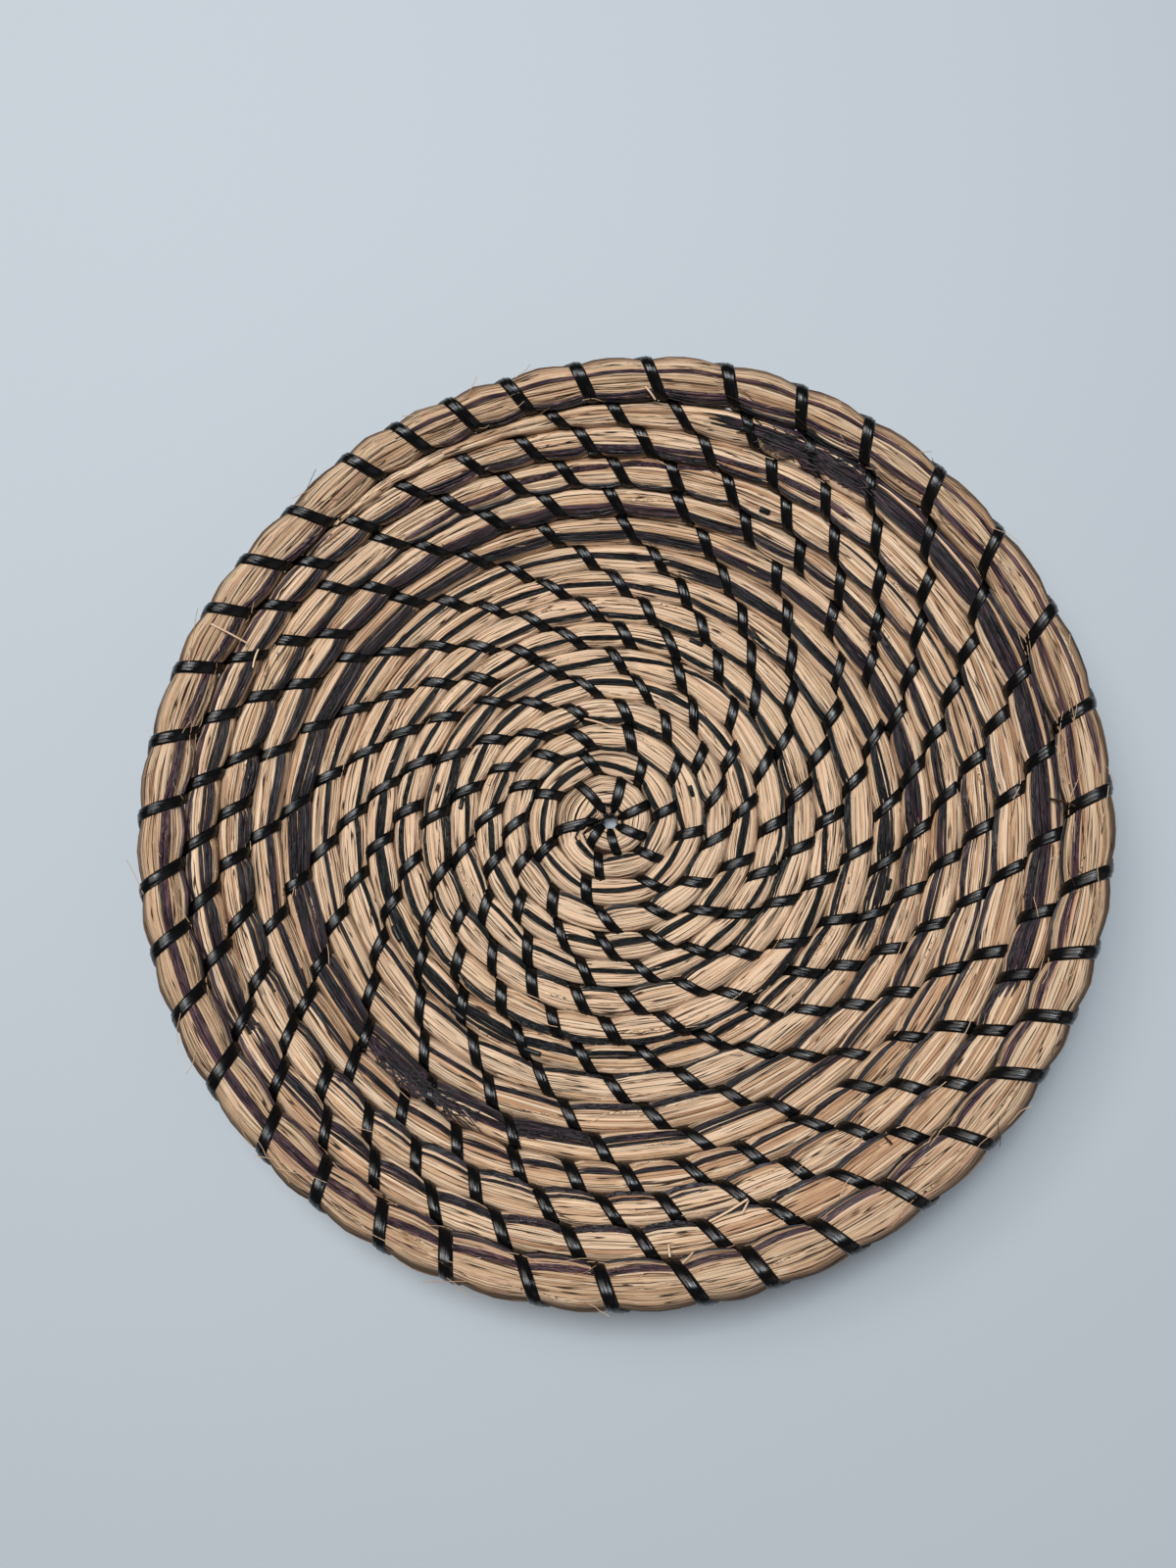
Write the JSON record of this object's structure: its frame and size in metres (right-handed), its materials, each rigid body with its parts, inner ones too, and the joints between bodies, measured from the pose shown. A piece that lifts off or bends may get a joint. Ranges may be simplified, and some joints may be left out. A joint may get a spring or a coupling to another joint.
{
  "type": "coiled straw bowl",
  "caption": "Shallow round coiled bowl: a spiral straw bundle wound with flat black strip, with a flat base, a low slanted wall and a thicker rim coil.",
  "frame": {"origin": "on the surface that the bowl stands on, under the middle of its outline", "axes": "+Z up out of the open side; +X to the right and +Y up in a view straight into the bowl, with the coil's outer end at about 120 degrees from +X"},
  "size_m": [0.3348, 0.327, 0.0481],
  "materials": {
    "straw": "dry split plant stalks, matt, pale tan with fine darker lines",
    "rim_straw": "dry split plant stalks, matt, a little darker and pinker than the base",
    "dark_stalk": "dark purple-brown plant stalks, half matt",
    "black_strip": "flat black ribbed strip with a soft gloss"
  },
  "bodies": {
    "root": {"base_coil": "straw", "lower_wall_coil": "straw", "upper_wall_coil": "straw", "rim_coil": "rim_straw", "rim_dark_stalk": "dark_stalk", "rim_binding_strip": "black_strip", "binding_strip_01": "black_strip", "binding_strip_02": "black_strip", "binding_strip_03": "black_strip", "binding_strip_04": "black_strip", "binding_strip_05": "black_strip", "binding_strip_06": "black_strip", "binding_strip_07": "black_strip", "binding_strip_08": "black_strip", "binding_strip_09": "black_strip", "binding_strip_10": "black_strip", "binding_strip_11": "black_strip", "binding_strip_12": "black_strip", "binding_strip_13": "black_strip", "binding_strip_14": "black_strip", "binding_strip_15": "black_strip", "dark_stalk_01": "dark_stalk", "dark_stalk_02": "dark_stalk", "dark_stalk_03": "dark_stalk", "dark_stalk_04": "dark_stalk", "dark_stalk_05": "dark_stalk", "dark_stalk_06": "dark_stalk", "dark_stalk_07": "dark_stalk", "dark_stalk_08": "dark_stalk", "dark_stalk_09": "dark_stalk", "dark_stalk_10": "dark_stalk"}
  },
  "joints": []
}
